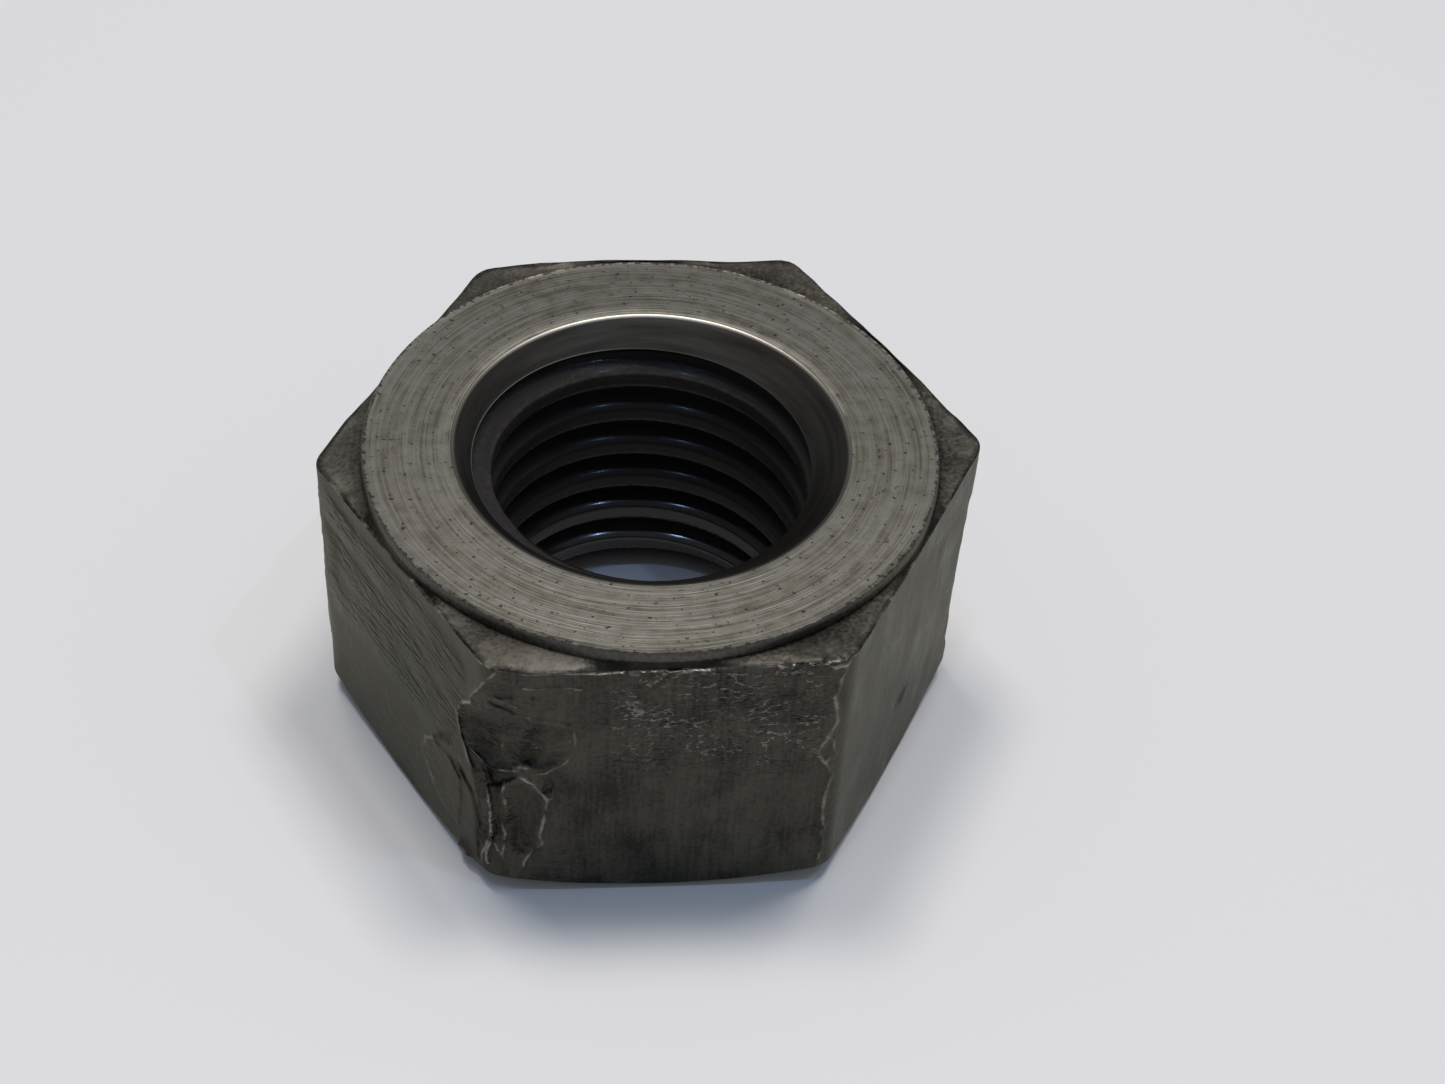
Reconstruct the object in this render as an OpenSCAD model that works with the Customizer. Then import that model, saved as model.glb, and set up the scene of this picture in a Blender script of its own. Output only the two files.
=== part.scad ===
// Hexagon nut for a three-quarter inch Whitworth bolt, in one piece of steel.
// One face is turned to a raised bearing ring, called the washer face. The other
// face has a chamfer all round its edge, deepest at the six corners. A right-hand
// thread runs right through, and each end of the hole is countersunk.
//
// Frame: millimetres, +Z up along the thread. The origin is the middle of the
// chamfered face, which the nut stands on. Two corners lie on the X axis, so two
// flats face +Y and -Y, and the washer face is on top.

/* [Hexagon] */
// Size across two opposite flats, which a spanner fits
across_flats = 30.48; // [26:0.02:40]
// Height from the chamfered face to the washer face
nut_height = 18; // [12:0.1:26]
// Radius of the six upright corners
corner_radius = 1.5; // [0.4:0.1:3]

/* [Washer face] */
// How far the edge of the bearing ring lies inside the flats
washer_face_inset = 0.24; // [0.1:0.02:1]
// Height of the bearing ring above the corners around it
washer_face_step = 0.5; // [0.2:0.02:1]

/* [Chamfer] */
// How far inside the flats the chamfer starts on the lower face
chamfer_inset = 0.9; // [0.1:0.1:1.5]
// Angle between the chamfer and the lower face
chamfer_angle = 24; // [15:1:35]

/* [Thread] */
// Major diameter, which is the bolt's outside diameter
thread_d = 19.05; // [15:0.05:24]
// Distance from one turn to the next, at ten turns to the inch
thread_pitch = 2.54; // [2:0.02:3.2]
// Depth of the groove outside the drilled hole
thread_depth = 1.15; // [0.8:0.05:1.4]
// Angle between the two flanks of the groove
flank_angle = 55; // [45:1:66]
// Direction in which the groove's middle passes the lower face
thread_start = 315; // [0:5:355]

/* [Countersinks] */
// How far the mouth of each countersink reaches outside the thread
countersink_margin = 0.8; // [0.4:0.1:1.2]
// Included angle of both countersinks
countersink_angle = 95; // [80:1:120]

/* [Hidden] */
$fn = 120;

corner_count = 6;
corner_step = 360 / corner_count;
flat_r = across_flats / 2;
// The corner arcs are centred where both of their flats are one radius away.
corner_centre_r = (flat_r - corner_radius) / cos(corner_step / 2);
corner_r = corner_centre_r + corner_radius;

washer_face_r = flat_r - washer_face_inset;
shoulder_z = nut_height - washer_face_step;
chamfer_r = flat_r - chamfer_inset;
envelope_r = corner_r + 1;

hole_r = thread_d / 2 - thread_depth;
countersink_r = thread_d / 2 + countersink_margin;
countersink_half = countersink_angle / 2;

// The groove has Whitworth proportions: its root is a sixth of the pitch wide.
root_r = thread_d / 2;
root_width = thread_pitch / 6;
// Cutters reach past the faces that they open: the groove's cutter this far into
// the drilled hole, and every cutter this far past the nut's two ends.
cutter_reach = 0.2;
overrun = 1;
// The helix starts and ends one more turn away, so that its ends cut nothing.
helix_lead = overrun + thread_pitch;
steps_per_turn = 40;
cutter_turns = (nut_height + 2 * helix_lead) / thread_pitch;
cutter_steps = ceil(cutter_turns * steps_per_turn);

steel_grey = "#6e6a64";

// Rounded hexagon: straight flats between six arcs that meet them tangentially.
module hexagon_outline() {
    polygon([
        for (i = [0 : corner_count - 1], side = [-1, 1])
            let (corner = i * corner_step, normal = corner + side * corner_step / 2)
            corner_centre_r * [cos(corner), sin(corner)]
                + corner_radius * [cos(normal), sin(normal)]
    ]);
    for (i = [0 : corner_count - 1])
        rotate(i * corner_step)
            translate([corner_centre_r, 0])
                circle(corner_radius);
}

// Solid of revolution that holds the hexagon: it cuts the chamfer round the lower
// face, and ends at the shoulder around the washer face.
module turned_envelope() {
    rotate_extrude()
        polygon([
            [0, 0],
            [chamfer_r, 0],
            [envelope_r, (envelope_r - chamfer_r) * tan(chamfer_angle)],
            [envelope_r, shoulder_z],
            [0, shoulder_z]
        ]);
}

// Hexagonal blank with its washer face, before the hole is made. The washer face
// is the end of a round boss that starts halfway up, clear of the chamfer.
module blank() {
    intersection() {
        linear_extrude(nut_height)
            hexagon_outline();
        turned_envelope();
    }
    translate([0, 0, nut_height / 2])
        cylinder(h = nut_height / 2, r = washer_face_r);
}

// Half the width of the groove at radius r.
function groove_half(r) = root_width / 2 + (root_r - r) * tan(flank_angle / 2);

// The four corners of the groove's section at step i of the helix. They go round
// from the lower inner one, and the helix climbs one pitch in a turn.
function section(i) =
    let (
        turned = i * 360 / steps_per_turn - 360 * helix_lead / thread_pitch,
        angle = thread_start + turned,
        z = thread_pitch * turned / 360,
        inner = hole_r - cutter_reach,
        direction = [cos(angle), sin(angle)]
    )
    [
        for (corner = [[inner, -1], [root_r, -1], [root_r, 1], [inner, 1]])
            let (r = corner[0])
            [r * direction[0], r * direction[1], z + corner[1] * groove_half(r)]
    ];

// Two triangles join edge j of section i to the same edge of the next section.
function band(i, j) =
    let (a = 4 * i + j, b = 4 * i + (j + 1) % 4)
    [[a, b, b + 4], [a, b + 4, a + 4]];

// Helical groove, as one closed solid.
module groove_cutter() {
    polyhedron(
        points = [for (i = [0 : cutter_steps], p = section(i)) p],
        faces = concat(
            [[3, 2, 1, 0]],
            [for (i = [0 : cutter_steps - 1], j = [0 : 3], t = band(i, j)) t],
            [[for (j = [0 : 3]) 4 * cutter_steps + j]]
        )
    );
}

// Cone that opens downwards from the drilled hole to past the lower face.
module countersink() {
    drop = overrun / tan(countersink_half);
    depth = countersink_r / tan(countersink_half);
    translate([0, 0, -drop])
        cylinder(h = drop + depth, r1 = countersink_r + overrun, r2 = 0);
}

module hex_nut() {
    color(steel_grey)
        difference() {
            blank();
            translate([0, 0, -overrun])
                cylinder(h = nut_height + 2 * overrun, r = hole_r);
            groove_cutter();
            countersink();
            translate([0, 0, nut_height])
                mirror([0, 0, 1])
                    countersink();
        }
}

hex_nut();
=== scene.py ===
"""A worn steel hexagon nut for a three-quarter inch Whitworth bolt, on a pale studio floor.

The nut is one closed surface. It starts from a clean form: a rounded hexagon with a turned
washer face on top, a chamfered lower face, a right-hand thread and a countersink at each end.
Wear is then pushed into its sides: a battered front left corner, pits, burrs and rolled edges.
Lengths in the tables and functions are in millimetres, and meshes are in metres.
"""

import math

import bpy
import numpy as np
from bpy.props import FloatProperty, PointerProperty, StringProperty
from mathutils import Matrix, Vector


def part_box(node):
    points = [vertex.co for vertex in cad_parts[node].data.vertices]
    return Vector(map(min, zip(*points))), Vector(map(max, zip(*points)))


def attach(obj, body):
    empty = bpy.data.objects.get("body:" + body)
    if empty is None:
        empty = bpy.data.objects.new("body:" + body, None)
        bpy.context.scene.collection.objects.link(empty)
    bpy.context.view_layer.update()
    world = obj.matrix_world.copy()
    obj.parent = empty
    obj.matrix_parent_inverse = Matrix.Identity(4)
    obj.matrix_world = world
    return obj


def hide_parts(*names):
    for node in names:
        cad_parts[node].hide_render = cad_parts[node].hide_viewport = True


bl_info = {
    "name": "Worn Hexagon Nut",
    "version": (1, 0, 0),
    "blender": (4, 5, 0),
    "location": "3D View > Sidebar > Hex Nut",
    "description": "Builds a worn steel hexagon nut and the studio stage that it stands on",
    "category": "Add Mesh",
}

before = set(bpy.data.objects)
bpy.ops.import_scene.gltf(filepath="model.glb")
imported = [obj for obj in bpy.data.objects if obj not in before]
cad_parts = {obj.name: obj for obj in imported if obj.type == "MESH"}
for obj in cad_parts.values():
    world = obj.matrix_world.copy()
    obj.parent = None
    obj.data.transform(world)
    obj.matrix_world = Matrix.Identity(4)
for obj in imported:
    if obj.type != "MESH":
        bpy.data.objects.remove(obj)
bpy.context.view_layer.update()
LOWEST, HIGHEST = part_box("hex_nut")

MM = 0.001
# Marks kept on the points. The second is painted shade: in hollows, creases, the groove round the
# washer face and at the foot of the sides.
MARKS = ("bare", "shade_and_dirt", "pitted", "rippled", "faced")
SIDES = 6
# The outline is measured from the front left corner, which lies in this direction.
START_CORNER = math.radians(240)

# Places along the outline in millimetres, and how far apart the upright grid lines are there.
GRID_SPACING = [
    (-52.8, 0.50), (-36.2, 0.50), (-35.2, 0.34), (-34.2, 0.42), (-18.8, 0.30), (-17.6, 0.16),
    (-16.6, 0.22), (-8.0, 0.22), (-6.8, 0.13), (-3.6, 0.13), (-3.2, 0.09), (4.6, 0.09),
    (5.4, 0.20), (16.0, 0.20), (16.6, 0.10), (18.0, 0.10), (18.8, 0.26), (33.8, 0.27),
    (35.2, 0.20), (36.2, 0.42), (51.0, 0.50), (52.8, 0.34),
]
GRID_COLUMNS = 416
SIDE_ROWS = 138
# Random heights are drawn on a square lattice of this many points before they repeat.
LATTICE = 64

# Height of the flats' upper edge along the outline. It dips in the middle of each flat, except
# round the back, where it stands as high as the washer face.
TOP_EDGE = [
    (-52.8, 17.92), (-49.5, 17.74), (-46.0, 17.9), (-42.0, 17.92), (-38.5, 17.8), (-36.2, 17.5),
    (-35.2, 17.35), (-33.0, 17.15), (-26.4, 17.05), (-21.0, 17.1), (-18.8, 16.85), (-17.6, 16.75),
    (-16.4, 16.85), (-14.6, 17.0), (-9.6, 17.0), (-5.6, 17.3), (-1.2, 17.5), (0.0, 17.45),
    (2.0, 17.05), (8.0, 17.02), (12.0, 17.15), (16.0, 17.4), (17.6, 17.55), (19.0, 17.4),
    (26.4, 17.15), (33.6, 17.4), (35.2, 17.45), (38.2, 17.55), (40.5, 17.85), (52.8, 17.92),
]

# How much of the groove's full depth it keeps along the outline.
GROOVE_SHARE = [
    (-52.8, 0.25), (-42.0, 0.3), (-35.2, 0.7), (-26.4, 0.85), (-17.6, 1.05), (0.0, 1.0),
    (17.6, 1.0), (35.2, 0.95), (40.0, 0.35), (52.8, 0.25),
]

# The battered corner was struck from the front and above, in this direction.
BLOW = np.array([0.094, 0.704, -0.704])
# Height, how far the flattened corner reaches along the left flat and the front flat, and
# how full it is: 1 is a plane from rim to rim, more is hollow.
CORNER_CUT = [
    (16.9, 0.0, 0.0, 1.0), (16.3, 0.4, 1.4, 1.0), (15.4, 0.9, 2.2, 1.0), (14.6, 1.3, 2.4, 1.0),
    (13.6, 1.8, 2.6, 1.02), (12.4, 2.7, 2.9, 1.02), (11.4, 3.0, 2.9, 1.0), (10.4, 2.6, 2.3, 0.9),
    (9.86, 2.4, 1.9, 0.65), (9.66, 2.1, 2.3, 1.5), (9.0, 1.9, 2.4, 1.4), (8.0, 1.5, 2.8, 1.3),
    (7.0, 1.2, 2.9, 1.2), (5.0, 1.1, 2.75, 1.1), (4.0, 1.0, 2.5, 1.0), (3.0, 0.9, 1.9, 1.0),
    (2.0, 0.7, 1.6, 0.9), (1.0, 0.5, 1.2, 0.8),
]

# Hollows of the sides: depth, width of the rim, whether they follow the blow, and the outline.
# Every hollow with a positive depth is darkened a little with painted shade.
HOLLOWS = [
    (0.30, 0.7, True, [(1.2, 10.3), (2.8, 9.9), (3.6, 10.4), (4.2, 11.2), (4.3, 12.0),
                       (4.2, 12.9), (2.6, 13.6), (1.6, 13.0), (1.3, 11.8)]),
    (0.08, 0.9, True, [(-2.8, 11.6), (-1.7, 13.2), (-0.6, 14.6), (0.3, 14.4), (0.8, 12.6),
                       (0.6, 11.0), (-0.2, 10.2), (-2.2, 10.3)]),
    (0.16, 0.4, True, [(-0.2, 15.9), (0.5, 16.8), (1.6, 16.2), (1.7, 15.2), (-0.4, 15.2)]),
    (0.10, 0.2, True, [(2.0, 15.4), (2.3, 15.7), (2.6, 15.4), (2.3, 15.1)]),
    (0.28, 0.6, True, [(0.75, 8.7), (1.6, 9.1), (2.3, 8.6), (2.8, 7.9), (2.9, 7.2), (2.7, 6.0),
                       (2.6, 5.0), (2.4, 4.0), (1.9, 3.2), (1.2, 3.0), (0.8, 4.0)]),
    (0.10, 0.35, True, [(-0.5, 8.6), (0.5, 8.8), (0.55, 6.0), (0.4, 4.4), (0.0, 4.4),
                        (-0.1, 6.0)]),
    # This hollow lies under the ledge and carries the painted shadow beneath it.
    (0.30, 0.3, True, [(-0.6, 9.7), (1.3, 9.62), (1.5, 9.2), (0.6, 8.5), (-0.2, 8.3)]),
    (0.24, 0.3, True, [(2.6, 8.2), (3.2, 8.0), (3.4, 8.6), (3.3, 9.4), (2.7, 9.3)]),
    (0.10, 0.25, True, [(4.8, 6.4), (5.1, 6.7), (5.4, 6.4), (5.1, 6.1)]),
    (0.42, 0.6, True, [(-3.0, 10.2), (-3.1, 9.0), (-3.6, 7.9), (-5.3, 7.3), (-4.9, 8.4),
                       (-4.0, 9.6)]),
    (-0.20, 0.35, True, [(-5.4, 7.2), (-6.3, 6.3), (-6.7, 5.2), (-6.4, 4.5), (-5.6, 3.2),
                       (-4.6, 2.4), (-3.0, 2.2), (-2.6, 4.0), (-2.6, 6.5), (-3.6, 7.4)]),
    (0.10, 0.9, False, [(-17.0, 14.0), (-16.5, 12.5), (-16.4, 11.0), (-17.0, 9.5),
                        (-15.3, 9.5), (-14.6, 12.0), (-13.9, 14.0)]),
    (0.12, 0.5, False, [(26.0, 6.2), (27.4, 6.6), (28.0, 5.6), (27.0, 4.8), (25.9, 5.2)]),
    (0.20, 0.8, False, [(-36.4, 12.8), (-34.6, 13.4), (-34.0, 11.0), (-35.0, 9.2),
                        (-36.3, 10.4)]),
    (0.24, 0.9, False, [(34.1, 14.5), (36.4, 14.2), (36.7, 8.0), (36.2, 2.0), (34.2, 2.2),
                        (33.9, 8.0)]),
    (0.16, 0.7, False, [(43.0, 9.5), (45.2, 10.1), (46.4, 8.4), (44.6, 7.2), (43.2, 7.8)]),
    (0.18, 0.8, False, [(-52.8, 6.0), (-51.2, 6.8), (-50.9, 4.6), (-52.2, 3.4)]),
]

# Ridges of the sides: height, width, whether they follow the blow, how bare, and the path.
# A negative height is a crease, darkened along its length with painted shade.
RIDGES = [
    (0.17, 0.17, True, 1.0, [(0.5, 17.2), (-0.4, 16.0), (-1.0, 15.0), (-1.6, 14.0), (-1.7, 13.5),
                             (-2.7, 12.4), (-3.0, 11.8), (-2.9, 11.0), (-2.4, 10.0), (-2.0, 9.0),
                             (-1.7, 8.6)]),
    (0.08, 0.15, True, 0.7, [(2.0, 13.9), (4.3, 13.0), (4.35, 12.0), (4.2, 11.2), (3.6, 10.3),
                             (2.8, 9.7), (1.5, 9.7)]),
    (0.20, 0.34, True, 0.9, [(1.5, 10.1), (1.9, 10.15)]),
    (0.12, 0.14, True, 0.9, [(-1.8, 9.98), (-0.5, 9.9), (1.0, 9.88), (1.6, 9.72)]),
    (0.07, 0.12, True, 0.6, [(1.9, 12.0), (2.5, 11.5), (3.3, 11.7), (4.3, 12.2)]),
    (0.05, 0.11, True, 0.5, [(2.0, 11.5), (3.4, 11.4), (4.3, 11.5)]),
    (0.06, 0.12, True, 0.6, [(1.7, 13.0), (1.6, 12.0)]),
    (0.06, 0.12, True, 0.6, [(0.6, 12.0), (0.5, 11.2), (1.0, 10.5)]),
    (0.12, 0.14, True, 0.9, [(0.3, 15.3), (1.4, 14.6), (1.4, 14.0)]),
    (-0.13, 0.12, True, 0.0, [(0.0, 14.9), (1.3, 14.2)]),
    (0.08, 0.13, True, 0.8, [(1.8, 16.1), (4.6, 15.9)]),
    (0.17, 0.15, True, 1.0, [(-0.7, 9.0), (-0.2, 7.5), (-0.05, 5.0), (0.0, 4.2), (-0.4, 3.0),
                             (-0.3, 2.0)]),
    (0.10, 0.13, True, 0.8, [(0.0, 4.2), (0.5, 3.0)]),
    (0.15, 0.14, True, 0.9, [(0.65, 8.8), (0.7, 6.0), (0.62, 4.4), (0.65, 2.8)]),
    (0.13, 0.14, True, 1.0, [(1.6, 9.3), (2.3, 8.8), (2.8, 8.0), (3.0, 7.4), (2.85, 6.5),
                             (2.75, 5.0), (2.6, 4.0), (2.2, 3.4), (1.7, 2.6), (1.65, 2.2)]),
    (0.08, 0.12, True, 0.7, [(3.0, 7.4), (3.4, 8.0), (3.8, 8.5)]),
    (0.24, 0.17, True, 1.0, [(-5.4, 7.2), (-6.3, 6.3), (-6.7, 5.2), (-6.4, 4.5), (-5.6, 3.2),
                             (-4.6, 2.4)]),
    (-0.24, 0.28, True, 0.0, [(-2.6, 7.4), (-1.4, 6.5), (-1.0, 5.0), (-1.1, 3.5), (-1.0, 2.0)]),
    (0.13, 0.14, True, 0.9, [(-0.1, 4.5), (-0.6, 3.0), (-0.9, 1.8)]),
    (0.30, 0.26, False, 0.9, [(-2.9, 1.15), (-2.2, 0.85), (-1.5, 0.75)]),
    (0.13, 0.20, False, 1.3, [(16.7, 17.15), (17.4, 17.35)]),
    (0.09, 0.17, False, 0.85, [(17.3, 17.3), (17.0, 15.0), (17.3, 13.0), (16.8, 12.0),
                              (16.5, 11.0), (16.9, 10.0), (17.3, 9.0), (17.1, 6.0), (17.3, 3.0),
                              (17.2, 1.5)]),
    (0.05, 0.11, False, 0.8, [(16.8, 12.0), (17.3, 11.6), (17.4, 10.6), (16.9, 10.0)]),
    (0.05, 0.12, False, 0.7, [(-17.9, 16.4), (-17.5, 14.2), (-17.8, 11.0), (-17.4, 8.0),
                              (-17.7, 4.0)]),
    (0.05, 0.14, False, 0.6, [(-35.4, 16.4), (-35.0, 13.8), (-35.4, 8.6), (-35.1, 3.5)]),
    (0.05, 0.13, False, 0.6, [(35.1, 16.6), (35.4, 12.0), (35.0, 7.0), (35.3, 3.0)]),
    (-0.07, 0.10, False, 0.2, [(-28.5, 12.4), (-25.0, 11.2), (-22.8, 11.0)]),
    (-0.06, 0.10, False, 0.2, [(-46.5, 6.0), (-43.0, 7.6), (-41.6, 7.8)]),
    (-0.06, 0.10, False, 0.2, [(46.0, 13.6), (48.6, 12.6), (50.2, 12.5)]),
]

# The bands of the surface in their order round the section, and the finish of each.
FORGED, TURNED, COUNTERSUNK, TAPPED = range(4)
BANDS = {
    "lower": FORGED, "chamfer": FORGED, "sides": FORGED, "shoulder": FORGED,
    "washer_outer": TURNED, "washer_inner": TURNED, "mouth": COUNTERSUNK, "break": TAPPED,
    "throat": COUNTERSUNK, "thread": TAPPED, "lower_cone": COUNTERSUNK, "lower_inner": FORGED,
}

# Lamps: name, place and size in metres, share of the lamp power, and colour.
LAMPS = [
    ("Right lamp", (0.12, 0.09, 0.58), 0.14, 0.5, "#fff8f2"),
    ("Left lamp", (-0.09, 0.12, 0.58), 0.14, 0.5, "#fff8f2"),
    ("Right glint", (0.21, -0.10, 0.55), 0.02, 0.09, "#a9cbff"),
    ("Left glint", (-0.07, -0.12, 0.58), 0.02, 0.09, "#a9cbff"),
]
FLOOR_REACH = 1.5

# The camera's tilt, roll and swing round the nut in degrees. Its place is in millimetres along
# its own axes: to the right of the nut's middle, above it, and back from it.
CAMERA_TURN = (44.785, 4.367, -7.611)
CAMERA_PLACE = (4.634, 7.506, 135.995)
CAMERA_LENS = 59.05


def ramp(table, x, column=1):
    """Value of a table's column at x, in a straight line between the rows."""
    rows = np.array(table, float)
    order = np.argsort(rows[:, 0])
    return np.interp(x, rows[order, 0], rows[order, column])


def ease(t):
    """Smooth step: 3t^2 - 2t^3 between 0 and 1, and flat beyond."""
    t = np.clip(t, 0.0, 1.0)
    return t * t * (3.0 - 2.0 * t)


def field(a, b, cell_a, cell_b, seed, wrap=None):
    """Smooth random heights over two coordinates, from -1 to 1.

    Random values at the crossings of a lattice, blended with the smooth step. With wrap, the
    lattice repeats after that length of a, so that it closes round the nut.
    """
    rng = np.random.default_rng(seed)
    count = LATTICE if wrap is None else max(1, round(wrap / cell_a))
    step = cell_a if wrap is None else wrap / count
    values = rng.uniform(-1.0, 1.0, (count, LATTICE))
    i, j = np.floor(a / step).astype(int), np.floor(b / cell_b).astype(int)
    u, v = ease(a / step - i), ease(b / cell_b - j)
    left, right, below, above = i % count, (i + 1) % count, j % LATTICE, (j + 1) % LATTICE
    low = values[left, below] * (1 - u) + values[right, below] * u
    high = values[left, above] * (1 - u) + values[right, above] * u
    return low * (1 - v) + high * v


def path_distance(s, z, path):
    """Distance of each point from a line through the path's points."""
    best = np.full(np.shape(s), np.inf)
    for (s0, z0), (s1, z1) in zip(path[:-1], path[1:]):
        ds, dz = s1 - s0, z1 - z0
        t = np.clip(((s - s0) * ds + (z - z0) * dz) / (ds * ds + dz * dz), 0.0, 1.0)
        best = np.minimum(best, np.hypot(s - s0 - t * ds, z - z0 - t * dz))
    return best


def depth_inside(s, z, outline):
    """Distance in from a closed outline, negative outside it."""
    closed = list(outline) + [outline[0]]
    inside = np.zeros(np.shape(s), bool)
    for (s0, z0), (s1, z1) in zip(closed[:-1], closed[1:]):
        if z0 != z1:
            inside ^= ((z0 > z) != (z1 > z)) & (s < (s1 - s0) * (z - z0) / (z1 - z0) + s0)
    distance = path_distance(s, z, closed)
    return np.where(inside, distance, -distance)


LENGTH = {"unit": "LENGTH", "subtype": "DISTANCE"}


class NutSizes(bpy.types.PropertyGroup):
    """Sizes of the clean nut"""

    across_flats: FloatProperty(
        name="Across flats", description="Size across two opposite flats",
        default=HIGHEST.y - LOWEST.y, **LENGTH)
    height: FloatProperty(
        name="Height", description="From the lower face to the washer face",
        default=HIGHEST.z - LOWEST.z, **LENGTH)
    corner_radius: FloatProperty(
        name="Corner radius", description="Radius of the six upright corners",
        default=1.5 * MM, **LENGTH)
    washer_inset: FloatProperty(
        name="Washer face inset", description="How far the washer face lies inside the flats",
        default=0.24 * MM, **LENGTH)
    shoulder_drop: FloatProperty(
        name="Shoulder", description="Depth of the groove around the washer face",
        default=0.62 * MM, **LENGTH)
    chamfer_inset: FloatProperty(
        name="Chamfer inset", description="How far inside the flats the lower chamfer starts",
        default=0.9 * MM, **LENGTH)
    chamfer_angle: FloatProperty(
        name="Chamfer angle", description="Between the chamfer and the lower face",
        default=math.radians(24), unit="ROTATION", subtype="ANGLE")
    thread_diameter: FloatProperty(
        name="Thread diameter", description="Major diameter of the thread",
        default=19.05 * MM, **LENGTH)
    pitch: FloatProperty(
        name="Pitch", description="From one turn of the thread to the next",
        default=2.54 * MM, **LENGTH)
    thread_depth: FloatProperty(
        name="Thread depth", description="Depth of the groove outside the drilled hole",
        default=1.15 * MM, **LENGTH)
    flank_angle: FloatProperty(
        name="Flank angle", description="Between the two flanks of the groove",
        default=math.radians(55), unit="ROTATION", subtype="ANGLE")
    thread_start: FloatProperty(
        name="Thread start", description="Direction in which the groove passes the lower face",
        default=math.radians(315), unit="ROTATION", subtype="ANGLE")
    countersink_margin: FloatProperty(
        name="Countersink margin", description="How far the countersinks reach past the thread",
        default=0.8 * MM, **LENGTH)
    countersink_angle: FloatProperty(
        name="Countersink angle", description="Included angle of both countersinks",
        default=math.radians(95), unit="ROTATION", subtype="ANGLE")


class NutFinish(bpy.types.PropertyGroup):
    """Colours of the nut's finishes"""

    turned: StringProperty(
        name="Turned steel", description="Colour of the turned washer face", default="#96938a")
    turned_dark: StringProperty(
        name="Turned steel, dull", description="Darkest of the washer face's rings",
        default="#615e54")
    cone: StringProperty(
        name="Countersinks", description="Colour of the two countersinks", default="#55514a")
    cone_dark: StringProperty(
        name="Countersinks, dull", description="Darkest of the countersinks' rings",
        default="#3e3b35")
    scale: StringProperty(
        name="Scale", description="Colour of the dark forged sides", default="#2e2c28")
    rubbed: StringProperty(
        name="Rubbed scale", description="Colour of scale that is rubbed thin", default="#56534b")
    # Colour of the painted shade in hollows, creases, the groove and at the foot of the sides, and
    # of the dark nicks in the washer face.
    shade_and_dirt: StringProperty(
        name="Grime", description="Colour of the dirt in hollows and the groove",
        default="#1b1915")
    sheen: StringProperty(
        name="Sheen", description="Colour of the scale's sheen at a glancing angle",
        default="#fafaf1")
    # Also the colour of the painted highlights on the mouth of the hole.
    bare: StringProperty(
        name="Bare edges", description="Colour where the scale is worn off", default="#c4beb2")
    thread: StringProperty(
        name="Thread", description="Colour of the oily thread", default="#2b2928")
    crest: StringProperty(
        name="Thread crests", description="Colour of the thread's rubbed crests",
        default="#322e28")


class StageLook(bpy.types.PropertyGroup):
    """Colours and strengths of the studio stage"""

    floor: StringProperty(
        name="Floor", description="Colour of the pale floor", default="#e9e9e8")
    surround: StringProperty(
        name="Surround", description="Colour of the light from all round", default="#e4ecf8")
    surround_strength: FloatProperty(
        name="Surround strength", description="Brightness of the light from all round",
        default=0.28)
    lamp_power: FloatProperty(
        name="Lamp power", description="Power of the two overhead lamps together",
        default=2.3, unit="POWER")


def linear(text):
    """A colour written as an sRGB hex value, as linear red, green, blue and alpha."""
    parts = [int(text[i:i + 2], 16) / 255 for i in (1, 3, 5)]
    return (*[p / 12.92 if p <= 0.04045 else ((p + 0.055) / 1.055) ** 2.4 for p in parts], 1.0)


def outline(s, flat_r, corner_r):
    """Points and outward directions of the rounded hexagon.

    s runs along the sharp hexagon from the front left corner. Near a corner the outward
    direction turns evenly through the arc, and past the arc the point moves straight on.
    """
    side = 2 * flat_r / math.sqrt(3)
    turn = math.pi / SIDES
    k = np.round(s / side)
    past = s - k * side
    tangent = corner_r * math.tan(turn)
    corner = START_CORNER + 2 * turn * k
    angle = corner + np.clip(past / tangent, -1, 1) * turn
    straight = past - np.clip(past, -tangent, tangent)
    centre_r = (flat_r - corner_r) / math.cos(turn)
    x = centre_r * np.cos(corner) + corner_r * np.cos(angle) - straight * np.sin(angle)
    y = centre_r * np.sin(corner) + corner_r * np.sin(angle) + straight * np.cos(angle)
    return np.stack([x, y], -1), np.stack([np.cos(angle), np.sin(angle)], -1)


def grid_lines(side):
    """Places along the outline of the upright grid lines, close together where wear is fine.

    The count of lines up to a place is the sum of one over the spacing. Its inverse, read at
    even steps, gives the places. The first line is at the back right corner.
    """
    fine = np.linspace(-3 * side, 3 * side, 20001)
    count = np.concatenate([[0], np.cumsum(1 / ramp(GRID_SPACING, (fine[1:] + fine[:-1]) / 2))])
    steps = np.linspace(0, count[-1], GRID_COLUMNS + 1)[:-1]
    return np.interp(steps, count, fine)


def corner_cut(plan, z, side):
    """How far the flattened corner is pushed in along the blow.

    Each rim is a distance along its flat from the sharp corner. A point outside the upright
    plane through both rims is pushed until it lies in that plane, or a little past it.
    """
    left, front = ramp(CORNER_CUT, z, 1), ramp(CORNER_CUT, z, 2)
    tip_x, tip_y = side * math.cos(START_CORNER), side * math.sin(START_CORNER)
    rim_x, rim_y = tip_x - left / 2, tip_y + math.sqrt(0.75) * left
    out_x, out_y = -math.sqrt(0.75) * left, -(front + left / 2)
    length = np.maximum(np.hypot(out_x, out_y), 1e-6)
    outside = ((plan[:, 0] - rim_x) * out_x + (plan[:, 1] - rim_y) * out_y) / length
    facing = -(BLOW[0] * out_x + BLOW[1] * out_y) / length
    return np.maximum(outside, 0) / np.maximum(facing, 0.1) * ramp(CORNER_CUT, z, 3)


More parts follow.
